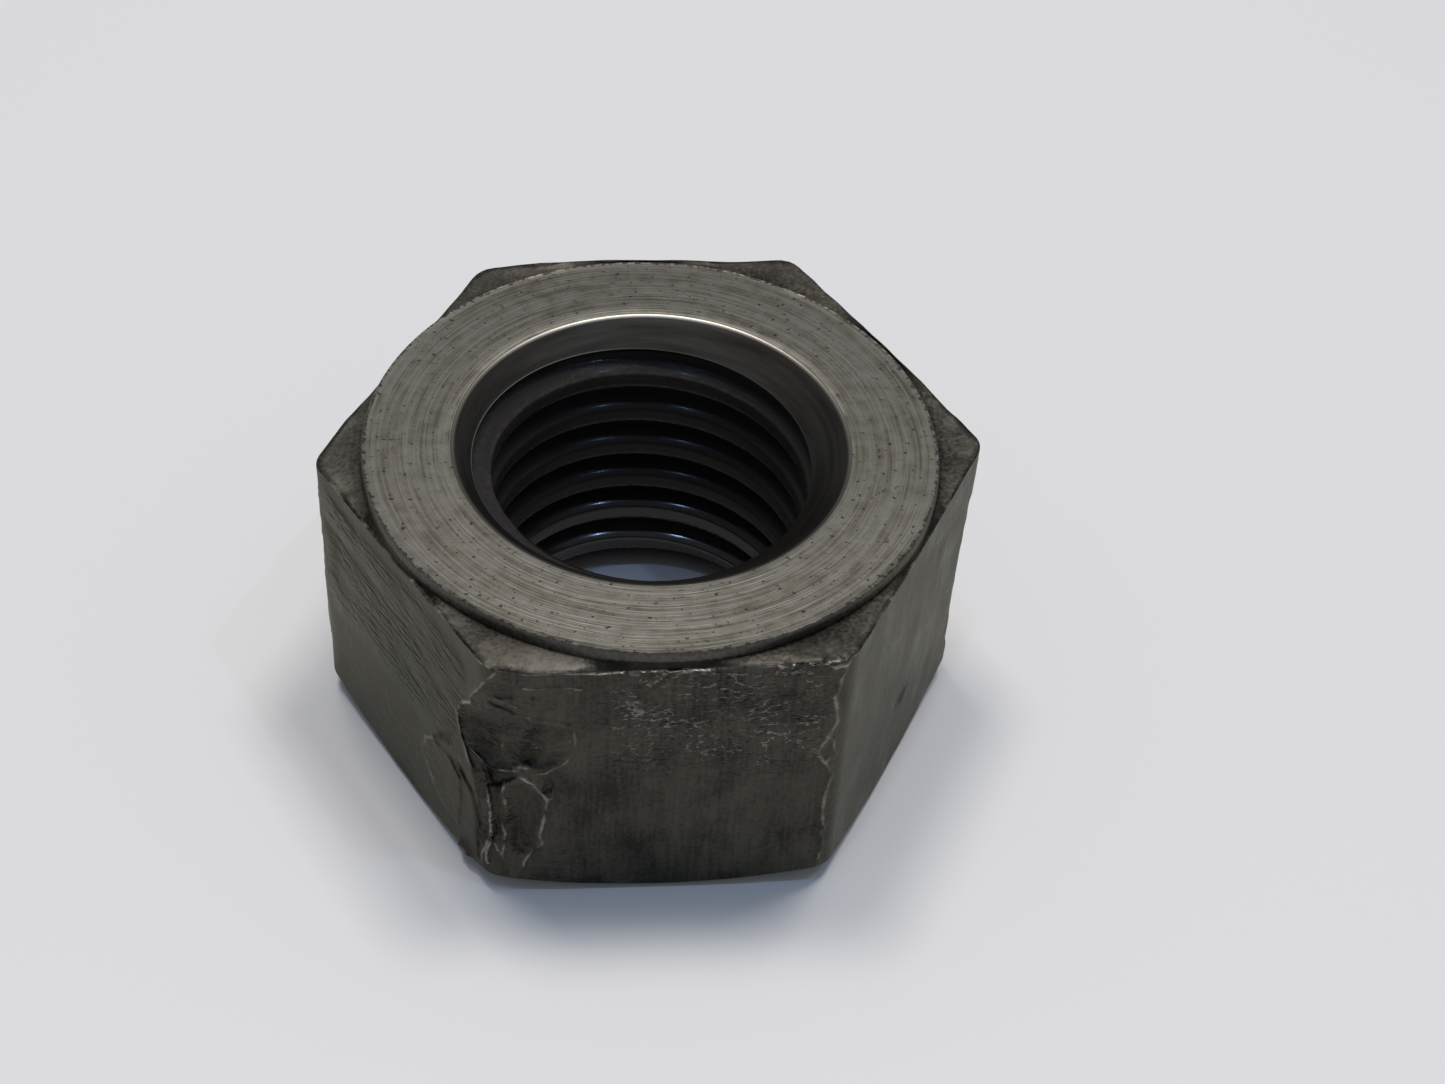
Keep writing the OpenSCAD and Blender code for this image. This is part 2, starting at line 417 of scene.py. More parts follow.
def thread_radius(angle, z, sizes):
    """Radius of the threaded hole: the groove's flanks rise from its root to the drilled hole."""
    root = sizes.thread_diameter / 2 / MM
    pitch = sizes.pitch / MM
    passed = z - pitch * (angle - sizes.thread_start) / (2 * math.pi)
    off = np.abs(passed - pitch * np.round(passed / pitch))
    flank = root - (off - pitch / 12) / math.tan(sizes.flank_angle / 2)
    return np.clip(flank, root - sizes.thread_depth / MM, root)


def ring(radius, z, angle):
    """Points at a radius and height in the given directions."""
    radius, z = radius + 0 * angle, z + 0 * angle
    return np.stack([radius * np.cos(angle), radius * np.sin(angle), z], -1)


def build_rows(sizes):
    """The nut as bands of rows: each a grid of points, its finish, and its wear.

    The bands follow one another round the section: lower face, chamfer, side, rolled edge,
    shoulder, washer face, upper countersink, thread and lower countersink. Each row is a ring
    of points, and runs along the outline or, in the hole, along every second grid line.
    """
    flat_r = sizes.across_flats / 2 / MM
    height = sizes.height / MM
    side = 2 * flat_r / math.sqrt(3)
    around = SIDES * side
    s = grid_lines(side)
    corner_r = sizes.corner_radius / MM
    plan, normal = outline(s, flat_r, corner_r)
    angle = np.arctan2(plan[:, 1], plan[:, 0])
    rim_r = np.hypot(plan[:, 0], plan[:, 1])

    # Side: from the chamfer's edge up to the rolled edge.
    chamfer_r = flat_r - sizes.chamfer_inset / MM
    bottom = (rim_r - chamfer_r) * math.tan(sizes.chamfer_angle)
    top = ramp(TOP_EDGE, s) + 0.05 * field(s, 0 * s, 1.1, 1.0, 3, around)
    v = np.linspace(0, 1, SIDE_ROWS)[:, None]
    z = bottom + (top - bottom) * v
    ss = np.broadcast_to(s, z.shape)
    push, lift, marks = side_wear(ss, z, plan, side)
    sides = np.empty(z.shape + (3,))
    sides[..., :2] = plan + normal * lift[..., None]
    sides[..., 2] = z
    sides += BLOW * push[..., None]

    # Lower face and chamfer.
    half = (chamfer_r + sizes.thread_diameter / 2 / MM) / 2 + 0.5
    lower = np.stack([ring(r, 0.0, angle) for r in np.linspace(half, chamfer_r, 4)])
    v = np.linspace(0, 1, 7)[1:-1, None, None]
    chamfer = ring(chamfer_r, 0.0, angle) * (1 - v) + sides[0] * v

    # Rolled edge, shoulder and the wall of the washer face.
    washer_r = flat_r - sizes.washer_inset / MM
    shoulder = height - sizes.shoulder_drop / MM * ramp(GROOVE_SHARE, s)
    out_r = np.hypot(sides[-1][:, 0], sides[-1][:, 1])
    out_angle = np.arctan2(sides[-1][:, 1], sides[-1][:, 0])
    foot_r = washer_r + 0.09
    lip_in, lip_up = 0.12, 0.08
    chips = np.maximum(field(s, 0 * s, 0.7, 1.0, 21, around) - 0.45, 0)
    lip_r = np.maximum(out_r - lip_in - 0.3 * chips, foot_r + 0.03)
    lip_z = sides[-1][:, 2] + lip_up - 0.25 * chips
    lip = ring(lip_r, lip_z, out_angle)
    foot = ring(foot_r, shoulder, angle)
    narrow = 1 - ease((out_r - foot_r - 0.15) / 0.7)
    shine = ease(0.55 + 0.6 * field(s, 0 * s, 0.8, 1.0, 22, around))
    rows = [sides[-1] * 0.45 + lip * 0.55, lip]
    bare = [0.26 * shine, 0.24 - 0.1 * narrow]
    shade_and_dirt = [0 * s, 0 * s]
    facet = 0.315 - 0.2 * narrow - 0.03 * np.cos(angle)
    for t in np.linspace(0, 1, 7)[1:]:
        row = lip * (1 - t) + foot * t
        uneven = 0.05 * field(s, 0 * s + 9 * t, 0.5, 1.5, 23, around)
        row[:, 2] += uneven * (1 - narrow) * (1 - t)
        rows.append(row)
        bare.append(facet * (1 - 0.25 * t))
        # Painted shade darkens the foot of the facet, in the groove by the washer face's wall.
        shade_and_dirt.append(0.7 * (1 - narrow) * t ** 6)
    burr = 0.02 + 0.015 * field(s, 0 * s, 0.3, 1.0, 5, around)
    wall = height - shoulder
    rows += [ring(washer_r + 0.05, shoulder + 0.35 * wall, angle),
             ring(washer_r + 0.03, shoulder + 0.7 * wall, angle),
             ring(washer_r, height - 0.04, angle), ring(washer_r - 0.05, height + burr, angle)]
    bare += [0.3 + 0 * s, 0.32 + 0 * s, 0.34 + 0 * s, 0.36 + 0 * s]
    # Painted shade low on the wall of the washer face.
    shade_and_dirt += [0.2 - 0.2 * narrow, 0 * s, 0 * s, 0 * s]
    shoulder_rows = np.stack(rows)
    washer_outer = np.stack([ring(r, height, angle) for r in np.linspace(washer_r - 0.16, half, 8)])

    # Inside the washer face every second grid line goes on.
    inner = angle[::2]
    mouth_r = (sizes.thread_diameter / 2 + sizes.countersink_margin) / MM
    slope = math.tan(sizes.countersink_angle / 2)
    hole_r = (sizes.thread_diameter / 2 - sizes.thread_depth) / MM
    sink = (mouth_r - hole_r) / slope
    washer_inner = np.stack([ring(r, height, inner) for r in np.linspace(half, mouth_r + 0.12, 9)])

    def cone_row(z_row, depth):
        radius = np.maximum(mouth_r - depth * slope, thread_radius(inner, z_row, sizes))
        return ring(radius, z_row, inner)

    def rows_between(a, b, steps):
        levels = [a + (b - a) * t for t in np.linspace(0, 1, steps)]
        return [cone_row(z_row, height - z_row) for z_row in levels]

    # The groove breaks into the cone between two straight lines: each flank meets the cone
    # where the cone's radius equals the flank's, and neither is there above the root's level.
    pitch = sizes.pitch / MM
    flank = math.tan(sizes.flank_angle / 2) * slope
    root_z = height - sizes.countersink_margin / MM / slope
    highest = root_z + pitch / 12
    centre = highest - np.mod(highest - pitch * (inner - sizes.thread_start) / (2 * math.pi), pitch)
    sink_z = height - sink
    top_edge = root_z + (centre + pitch / 12 - root_z) / (1 + flank)
    low_edge = root_z + (centre - pitch / 12 - root_z) / (1 - flank)
    top_edge = np.clip(top_edge, sink_z, root_z)
    low_edge = np.clip(low_edge, sink_z, top_edge)
    root_top = np.clip(centre + pitch / 12, low_edge, top_edge)
    root_low = np.clip(centre - pitch / 12, low_edge, top_edge)
    edge = [ring(mouth_r + 0.03, height - 0.012, inner), ring(mouth_r - 0.03, height - 0.05, inner)]
    above = np.minimum(top_edge + 0.05, height - 0.2)
    mouth = np.stack(edge + rows_between(height - 0.12 + 0 * inner, above, 9)
                     + rows_between(top_edge, top_edge, 1))
    breaking = np.stack(rows_between(top_edge, root_top, 4)
                        + rows_between(root_top, root_low, 3)[1:]
                        + rows_between(root_low, low_edge, 4)[1:])
    throat = np.stack(rows_between(low_edge, sink_z + 0 * inner, 4))
    lower_cone = np.stack([cone_row(d + 0 * inner, d) for d in np.linspace(sink, 0.0, 11)])
    lower_inner = np.stack([ring(r, 0.0, inner) for r in np.linspace(mouth_r, half, 4)[1:]])

    # Thread: each row keeps its place on the groove's section and climbs with the helix. The
    # offsets are heights above the groove's middle, closest where the root and the crest turn.
    offsets = np.array([0, 0.13, 0.24, 0.42, 0.62, 0.78, 0.86, 1.05])
    places = np.concatenate([offsets, [pitch / 2], pitch - offsets[:0:-1]])
    turns = np.arange(math.ceil((height - sink) / pitch) + 1, -2, -1)
    climb = np.concatenate([n * pitch + places[::-1] for n in turns])
    swept = np.concatenate([np.unwrap(inner), [np.unwrap(inner)[0] + 2 * math.pi]])
    zz = climb[:, None] + pitch * (swept - sizes.thread_start) / (2 * math.pi)
    keep = (zz.max(1) > sink - 1e-9) & (zz.min(1) < height - sink + 1e-9)
    keep |= np.roll(keep, 1) | np.roll(keep, -1)
    zz = np.clip(zz[keep], sink, height - sink)
    row_place = np.tile(places[::-1], len(turns))[keep][:, None]
    lower_lip = np.exp(-((row_place - 0.84) / 0.1) ** 2)
    land = ease((row_place - 0.7) / 0.1) * ease((pitch - 0.7 - row_place) / 0.1)
    first = ease((zz - 14.7) / 0.9)
    thread = ring(thread_radius(swept, zz, sizes), zz, swept + 0 * zz)

    bands = {
        "lower": lower, "chamfer": chamfer, "sides": sides, "shoulder": shoulder_rows,
        "washer_outer": washer_outer, "washer_inner": washer_inner, "mouth": mouth,
        "break": breaking, "throat": throat, "thread": thread, "lower_cone": lower_cone,
        "lower_inner": lower_inner,
    }
    wear = {name: np.zeros((len(MARKS),) + grid.shape[:2]) for name, grid in bands.items()}
    wear["sides"] = marks
    wear["shoulder"][:2] = np.stack([bare, shade_and_dirt])
    wear["shoulder"][4, 1:] = 1
    # Bare steel where the thread breaks into the countersink, painted brighter as a highlight along
    # that edge on the left side.
    broken = ease((top_edge - sink_z) / 0.2)
    broken = broken * np.clip(0.12 - 0.8 * np.cos(inner), 0.12, 1)
    wear["mouth"][0, -1] = wear["break"][0, 0] = broken
    wear["thread"][0] = (0.12 + 0.16 * first) * lower_lip + 0.05 * first * land
    wear["break"][0, 1:] = 0.02
    # The countersink's rolled mouth is rubbed bright all round, with a painted highlight added that
    # is strongest on its far side.
    wear["mouth"][0, :2] = 0.35 + 0.35 * np.sin(angle[::2])
    return bands, wear


def side_wear(s, z, plan, side):
    """Wear and painted shade of the sides: the push along the blow, the lift off the flat, the
    marks.

    Hollows go in by the smooth step over their rim's width, and ridges fall off as a bell curve
    of their width. Both are shaken a little by random heights, so that no edge is straight.
    """
    around = SIDES * side
    push = corner_cut(plan, z, side)
    struck_zone = ease(push / 0.1)
    lift = 0.03 * field(s, z, 4.0, 4.0, 11, around) + 0.012 * field(s, z, 0.9, 1.2, 12, around)
    bare, shade_and_dirt = np.zeros(s.shape), np.zeros(s.shape)
    ragged = 1 + 0.35 * field(s, z, 0.5, 0.5, 13, around)
    broken = np.clip(0.85 + 0.6 * field(s, z, 0.6, 0.6, 24, around), 0.35, 1.3)
    shaken_s = s + 0.12 * field(s, z, 0.8, 0.8, 14, around)
    shaken_z = z + 0.12 * field(s, z, 0.8, 0.8, 15, around)
    for depth, rim, struck, outline_points in HOLLOWS:
        inside = ease(depth_inside(shaken_s, shaken_z, outline_points) / rim)
        push += 1.15 * depth * inside * struck
        struck_zone = np.maximum(struck_zone, inside * struck)
        lift -= depth * inside * (not struck)
        # Painted shade in the hollows.
        shade_and_dirt = np.maximum(shade_and_dirt, 0.2 * inside * (depth > 0))
    push += struck_zone * (0.035 * field(s, z, 0.55, 0.45, 19, around)
                           + 0.02 * field(s, z, 0.25, 0.22, 20, around))
    for height, width, struck, shine, path in RIDGES:
        near = np.exp(-(path_distance(shaken_s, shaken_z, path) / width) ** 2)
        push -= height * near * struck * ragged
        lift += height * near * (not struck) * ragged
        bare = np.maximum(bare, 0.42 * shine * near ** 1.3 * broken)
        # Painted shade along the creases, taken off on the ridges.
        shade_and_dirt = np.maximum(shade_and_dirt, near * (height < 0)) * (1 - 0.8 * near * (height > 0))
    top = ramp(TOP_EDGE, s)
    bare = np.maximum(bare, 0.3 * np.exp(-((z - top) / 0.10) ** 2) * ragged)
    zone = ease((s - 3.0) / 5.0) * ease((17.4 - s) / 1.2) * ease((z - 6.6) / 5.6)
    zone = zone * (0.95 + 0.35 * field(s, z, 1.7, 1.1, 25, around))
    patches = 0.25 * ease(1.2 * field(s, z, 3.0, 3.0, 16, around))
    pitted = np.maximum(np.maximum(zone, 0.4 * struck_zone), patches)
    rippled = ease((s + 16.8) / 1.5) * ease((-1.6 - s) / 1.5) * ease((z - 7.0) / 2.2)
    rippled = rippled * ease((16.6 - z) / 1.2) * ease(0.8 + 0.8 * field(s, z, 2.5, 1.5, 17, around))
    # Painted shade at the foot of the sides.
    foot_shade = ease((bottom_shade(s) - z) / 0.9)
    marks = np.stack([np.clip(bare, 0, 1), np.clip(np.maximum(shade_and_dirt, 0.5 * foot_shade), 0, 1),
                      pitted, rippled, np.zeros(s.shape)])
    return push, lift, marks


def bottom_shade(s):
    """Height up to which painted shade darkens the foot of the sides."""
    return 1.1 + 0.5 * field(s, 0 * s, 1.7, 1.0, 18)


def weld(points, faces, finish):
    """Merges points that fall together, and drops the faces that this leaves with no area.

    Points are compared on a grid of a tenth of a micrometre. A face with one side gone
    becomes a triangle.
    """
    keys = np.round(points * 1e4).astype(np.int64)
    _, first, number = np.unique(keys, axis=0, return_index=True, return_inverse=True)
    number = number.reshape(-1)
    faces = number[faces]
    same = faces == np.roll(faces, -1, axis=1)
    whole = same.sum(1) == 0
    three = same.sum(1) == 1
    quads = faces[whole]
    left = faces[three]
    kept = ~same[three]
    triangles = left[kept].reshape(-1, 3)
    return first, quads, triangles, np.concatenate([finish[whole], finish[three]])


def strip(n, lower, upper, closed=True):
    """Faces between pairs of rows of n points, from the numbers of the rows' first points."""
    lower, upper = np.atleast_1d(lower)[:, None], np.atleast_1d(upper)[:, None]
    i = np.arange(n if closed else n - 1)
    j = (i + 1) % n
    return np.stack([lower + i, lower + j, upper + j, upper + i], -1).reshape(-1, 4)


def zipper(n, wide, narrow):
    """Faces between a row of 2n points and a row of n: three triangles to every second point.

    Each is written as four corners with the last one doubled, which the weld makes a triangle.
    """
    i = np.arange(n)
    p, q, r = wide + 2 * i, wide + 2 * i + 1, wide + (2 * i + 2) % (2 * n)
    c, d = narrow + i, narrow + (i + 1) % n
    return np.concatenate([np.stack([p, q, c, c], -1), np.stack([q, d, c, c], -1),
                           np.stack([q, r, d, d], -1)])


def nut_mesh(sizes):
    """The nut's closed mesh: its bands joined end to end in a ring, and welded."""
    bands, wear = build_rows(sizes)
    names = list(BANDS)
    counts = [bands[name].shape[0] * bands[name].shape[1] for name in names]
    start = dict(zip(names, np.cumsum([0] + counts[:-1])))
    faces, finish = [], []
    for name in names:
        rows, columns = bands[name].shape[:2]
        first = start[name] + columns * np.arange(rows)
        faces.append(strip(columns, first[:-1], first[1:], closed=name != "thread"))
        finish.append(np.full(len(faces[-1]), BANDS[name]))
    for here, after in zip(names, names[1:] + names[:1]):
        a, b = bands[here].shape[1], bands[after].shape[1]
        last = start[here] + (len(bands[here]) - 1) * a
        if a == 2 * b:
            faces.append(zipper(b, last, start[after]))
        elif b == 2 * a:
            faces.append(zipper(a, start[after], last)[:, ::-1])
        else:
            faces.append(strip(min(a, b), last, start[after]))
        finish.append(np.full(len(faces[-1]), BANDS[after]))
    points = np.concatenate([bands[name].reshape(-1, 3) for name in names])
    marks = np.concatenate([wear[name].reshape(len(MARKS), -1) for name in names], 1)
    first, quads, triangles, finish = weld(points, np.concatenate(faces), np.concatenate(finish))
    mesh = bpy.data.meshes.new("worn_nut")
    mesh.from_pydata((points[first] * MM).tolist(), [], quads.tolist() + triangles.tolist())
    mesh.polygons.foreach_set("material_index", finish.astype(np.int32))
    for name, values in zip(MARKS, marks):
        layer = mesh.attributes.new(name, "FLOAT", "POINT")
        layer.data.foreach_set("value", values[first].astype(np.float32))
    mesh.update()
    mesh.shade_smooth()
    mesh.set_sharp_from_angle(angle=math.radians(38))
    return mesh


# Kinds of node that the finishes use again and again.
MATH, VECTOR = "ShaderNodeMath", "ShaderNodeVectorMath"
NOISE, RANGE = "ShaderNodeTexNoise", "ShaderNodeMapRange"


def add(tree, kind, inputs=(), output=0, **settings):
    """Adds a node and returns one of its outputs. An input is a value or an output to link."""
    made = tree.nodes.new(kind)
    for name, value in settings.items():
        setattr(made, name, value)
    for key, value in dict(inputs).items():
        socket = made.inputs[key]
        if isinstance(value, bpy.types.NodeSocket):
            tree.links.new(value, socket)
        else:
            socket.default_value = value
    return made.outputs[output]


def begin(name, colour, roughness, metallic=1.0):
    """A new material, with its tree, its shader, and the position on the object in millimetres."""
    material = bpy.data.materials.new(name)
    material.use_nodes = True
    tree = material.node_tree
    shader = tree.nodes["Principled BSDF"]
    shader.inputs["Base Color"].default_value = linear(colour)
    shader.inputs["Roughness"].default_value = roughness
    shader.inputs["Metallic"].default_value = metallic
    place = add(tree, "ShaderNodeTexCoord", output="Object")
    place = add(tree, VECTOR, {0: place, 1: (1 / MM,) * 3}, operation="MULTIPLY")
    return material, tree, shader, place


def cells(tree, place, cell, detail=3.0):
    """Inputs for a noise whose cells have the given sizes in millimetres."""
    place = add(tree, VECTOR, {0: place, 1: [1 / c for c in cell]}, operation="MULTIPLY")
    return {"Vector": place, "Scale": 1.0, "Detail": detail}


def layered(tree, shader, colour, layers):
    """Links a colour built up in layers, each a share from 0 to 1 and the colour laid on."""
    for share, over in layers:
        colour = add(tree, "ShaderNodeMix", {0: share, 6: colour, 7: linear(over)},
                     output=2, data_type="RGBA")
    tree.links.new(colour, shader.inputs["Base Color"])


def forged_steel(look):
    """Carbon steel as it was hot forged, its dark scale worn by years of spanners.

    The eye sees dull brown-grey mottles a few millimetres wide and fine upright streaks, soft
    brightness at a glancing angle, bright bare steel on ridges and black painted shade in hollows.
    """
    material, tree, shader, place = begin("Hot forged steel with worn scale", look.scale, 0.5)
    shader.inputs["Specular Tint"].default_value = linear(look.sheen)
    mark = {name: add(tree, "ShaderNodeAttribute", output="Fac", attribute_name=name)
            for name in MARKS}
    mottle = add(tree, NOISE, cells(tree, place, (2.6, 2.6, 3.4)))
    grain = add(tree, NOISE, cells(tree, place, (0.22, 0.22, 0.22)))
    streak = add(tree, NOISE, cells(tree, place, (0.2, 0.2, 2.4)))
    flakes = add(tree, NOISE, cells(tree, place, (1.7, 1.7, 0.62)))
    # Upright streaks would turn to gravel on the flat facets beside the washer face.
    calm = add(tree, RANGE, {"Value": mark["faced"], "To Min": 0.5, "To Max": 0.12})
    total = add(tree, MATH, {0: streak, 1: calm, 2: mottle}, operation="MULTIPLY_ADD")
    total = add(tree, MATH, {0: grain, 1: 0.5, 2: total}, operation="MULTIPLY_ADD")
    share = add(tree, RANGE, {"Value": total, "From Min": 0.78, "From Max": 1.22})
    # Scale that flaked off leaves thin light lines round each flake's edge.
    edge = add(tree, MATH, {0: flakes, 1: 0.5}, operation="SUBTRACT")
    edge = add(tree, MATH, {0: edge}, operation="ABSOLUTE")
    edge = add(tree, RANGE, {"Value": edge, "From Min": 0.0, "From Max": 0.04,
                             "To Min": 0.41, "To Max": 0.0})
    edge = add(tree, MATH, {0: edge, 1: mark["pitted"], 2: mark["bare"]}, operation="MULTIPLY_ADD")
    worn = add(tree, MATH, {0: grain, 1: 0.15, 2: edge}, operation="MULTIPLY_ADD")
    worn = add(tree, RANGE, {"Value": worn, "From Min": 0.28, "From Max": 0.98})
    # Layers: rubbed scale, the painted shade of hollows, creases, the groove and the foot, and bare
    # steel.
    layered(tree, shader, linear(look.scale),
            [(share, look.rubbed), (mark["shade_and_dirt"], look.shade_and_dirt), (worn, look.bare)])
    rough = add(tree, RANGE, {"Value": share, "To Min": 0.36, "To Max": 0.58})
    rough = add(tree, MATH, {0: mark["faced"], 1: 0.16, 2: rough}, operation="MULTIPLY_ADD")
    tree.links.new(rough, shader.inputs["Roughness"])
    # Pits half a millimetre apart where the scale flaked off, and ripples left by a spanner.
    spread = cells(tree, place, (0.48, 0.48, 0.33))["Vector"]
    pits = add(tree, "ShaderNodeTexVoronoi", {"Vector": spread, "Scale": 1.0, "Randomness": 1.0})
    pits = add(tree, RANGE, {"Value": pits, "From Min": 0.1, "From Max": 0.45,
                             "To Min": -0.45, "To Max": 0.0})
    plate = add(tree, RANGE, {"Value": flakes, "From Min": 0.46, "From Max": 0.54, "To Max": 0.45})
    ripple = add(tree, NOISE, cells(tree, place, (1.3, 1.3, 0.28), 2.0))
    ripple = add(tree, MATH, {0: ripple, 1: 2.8}, operation="MULTIPLY")
    height = add(tree, MATH, {0: pits, 1: plate}, operation="ADD")
    height = add(tree, MATH, {0: height, 1: mark["pitted"]}, operation="MULTIPLY")
    height = add(tree, MATH, {0: mark["rippled"], 1: ripple, 2: height}, operation="MULTIPLY_ADD")
    height = add(tree, MATH, {0: height, 1: 4.2, 2: total}, operation="MULTIPLY_ADD")
    bump = add(tree, "ShaderNodeBump", {"Height": height, "Distance": 0.034 * MM, "Strength": 1.0})
    tree.links.new(bump, shader.inputs["Normal"])
    return material


def polar(tree, place, along, across):
    """Position turned into rings: each cell is so many radians along and millimetres across."""
    flat = add(tree, VECTOR, {0: place, 1: (1.0, 1.0, 0.0)}, operation="MULTIPLY")
    radius = add(tree, VECTOR, {0: flat}, output=1, operation="LENGTH")
    way = add(tree, VECTOR, {0: flat}, operation="NORMALIZE")
    way = add(tree, VECTOR, {0: way, 1: (1 / along,) * 3}, operation="MULTIPLY")
    up = add(tree, MATH, {0: radius, 1: 1 / across}, operation="MULTIPLY")
    up = add(tree, "ShaderNodeCombineXYZ", {"Z": up})
    return add(tree, VECTOR, {0: way, 1: up}, operation="ADD"), radius


def turned_steel(look, sizes):
    """The same steel faced in a lathe: lighter, with a satin shine.

    The eye sees rings an eighth of a millimetre apart, drawn a little coarser than the tool
    left them so that they show, with stains across them, short nicks and a chipped edge.
    """
    material, tree, shader, place = begin("Lathe-turned steel", look.turned, 0.4)
    rings, radius = polar(tree, place, 0.4, 0.12)
    washer = (sizes.across_flats / 2 - sizes.washer_inset) / MM
    mouth = (sizes.thread_diameter / 2 + sizes.countersink_margin) / MM
    fine = add(tree, NOISE, {"Vector": rings, "Scale": 1.0, "Detail": 2.0})
    rings = polar(tree, place, 0.7, 0.6)[0]
    broad = add(tree, NOISE, {"Vector": rings, "Scale": 1.0, "Detail": 2.0})
    stain = add(tree, NOISE, cells(tree, place, (0.9, 0.9, 0.9), 4.0))
    total = add(tree, MATH, {0: broad, 1: 0.6, 2: fine}, operation="MULTIPLY_ADD")
    total = add(tree, MATH, {0: stain, 1: 0.7, 2: total}, operation="MULTIPLY_ADD")
    share = add(tree, RANGE, {"Value": total, "From Min": 0.9, "From Max": 1.4})
    # Nicks are the rare peaks of a noise a third of a millimetre across.
    nicks = add(tree, NOISE, cells(tree, place, (0.34, 0.26, 0.3), 4.0))
    nicks = add(tree, RANGE, {"Value": nicks, "From Min": 0.62, "From Max": 0.69, "To Max": 0.8})
    # The outer edge is chipped by up to a quarter of a millimetre.
    chips = add(tree, NOISE, cells(tree, place, (0.3, 0.3, 0.3)))
    chips = add(tree, MATH, {0: chips, 1: 0.9, 2: radius}, operation="MULTIPLY_ADD")
    chips = add(tree, RANGE, {"Value": chips, "From Min": washer + 0.3,
                              "From Max": washer + 0.37, "To Max": 0.75})
    # The rolled mouth of the hole gets a painted highlight, brightest on its far side.
    rim = add(tree, RANGE, {"Value": radius, "From Min": mouth + 0.075,
                            "From Max": mouth + 0.775, "To Min": 1.0, "To Max": 0.0})
    far = add(tree, "ShaderNodeSeparateXYZ", {0: place}, output=1)
    far = add(tree, RANGE, {"Value": far, "From Min": -2.0, "From Max": 7.0})
    rim = add(tree, MATH, {0: rim, 1: far}, operation="MULTIPLY")
    rim = add(tree, MATH, {0: rim, 1: share}, operation="MULTIPLY")
    layered(tree, shader, linear(look.turned_dark),
            [(share, look.turned), (nicks, look.shade_and_dirt), (chips, look.scale), (rim, look.bare)])
    rough = add(tree, RANGE, {"Value": share, "To Min": 0.48, "To Max": 0.38})
    tree.links.new(rough, shader.inputs["Roughness"])
    bump = add(tree, "ShaderNodeBump", {"Height": total, "Distance": 0.016 * MM, "Strength": 1.0})
    tree.links.new(bump, shader.inputs["Normal"])
    return material


def countersunk_steel(look):
    """The same steel cut by a countersink: darker and smoother than the washer face.

    The eye sees a few soft rings a third of a millimetre apart, and a rubbed mouth with painted
    highlights.
    """
    material, tree, shader, place = begin("Countersunk steel", look.cone, 0.4)
    rings = polar(tree, place, 0.5, 0.3)[0]
    broad = add(tree, NOISE, {"Vector": rings, "Scale": 1.0, "Detail": 2.0})
    share = add(tree, RANGE, {"Value": broad, "From Min": 0.3, "From Max": 0.7})
    # The bare mark here is rubbed steel, with painted highlights on the mouth's far side and the
    # thread's broken edge.
    bare = add(tree, "ShaderNodeAttribute", output="Fac", attribute_name="bare")
    layered(tree, shader, linear(look.cone_dark), [(share, look.cone), (bare, look.bare)])
    bump = add(tree, "ShaderNodeBump", {"Height": broad, "Distance": 0.006 * MM, "Strength": 1.0})
    tree.links.new(bump, shader.inputs["Normal"])
    return material


def cut_thread(look, sizes):
    """Tapped thread under a film of old black oil, which hides the metal, so it isn't metallic.

    The eye sees black flanks with a sharp blue gloss low down, where the oil lies thickest, dull
    brown crests, and bright bare steel where the thread's edge broke off, painted brighter on its
    left side as a highlight.
    """
    material, tree, shader, place = begin("Tapped thread wet with oil", look.thread, 0.3, 0.0)
    shader.inputs["Specular IOR Level"].default_value = 0.06
    shader.inputs["Coat Roughness"].default_value = 0.13
    depth = add(tree, "ShaderNodeSeparateXYZ", {0: place}, output=2)
    oil = add(tree, RANGE, {"Value": depth, "From Min": 3.0, "From Max": 7.0,
                            "To Min": 0.9, "To Max": 0.06})
    tree.links.new(oil, shader.inputs["Coat Weight"])
    radius = polar(tree, place, 0.2, 0.4)[1]
    hole = (sizes.thread_diameter / 2 - sizes.thread_depth) / MM
    crest = add(tree, RANGE, {"Value": radius, "From Min": hole + 0.03,
                              "From Max": hole + 0.22, "To Min": 1.0, "To Max": 0.0})
    patch = add(tree, NOISE, cells(tree, place, (0.5, 0.5, 0.25)))
    patch = add(tree, RANGE, {"Value": patch, "From Min": 0.38, "From Max": 0.62,
                              "To Min": 0.35, "To Max": 1.0})
    share = add(tree, MATH, {0: crest, 1: patch}, operation="MULTIPLY")
    # The bare mark: rubbed crest edges, and on the broken edge a painted highlight on its left
    # side.
    bare = add(tree, "ShaderNodeAttribute", output="Fac", attribute_name="bare")
    speck = add(tree, NOISE, cells(tree, place, (0.3, 0.3, 0.2), 4.0))
    speck = add(tree, RANGE, {"Value": speck, "From Min": 0.4, "From Max": 0.66,
                              "To Min": 0.15, "To Max": 1.0})
    bare = add(tree, MATH, {0: bare, 1: speck}, operation="MULTIPLY")
    tree.links.new(bare, shader.inputs["Metallic"])
    layered(tree, shader, linear(look.thread), [(share, look.crest), (bare, look.bare)])
    rough = add(tree, RANGE, {"Value": share, "To Min": 0.26, "To Max": 0.45})
    tree.links.new(rough, shader.inputs["Roughness"])
    bump = add(tree, "ShaderNodeBump", {"Height": patch, "Distance": 0.01 * MM, "Strength": 1.0})
    tree.links.new(bump, shader.inputs["Normal"])
    return material


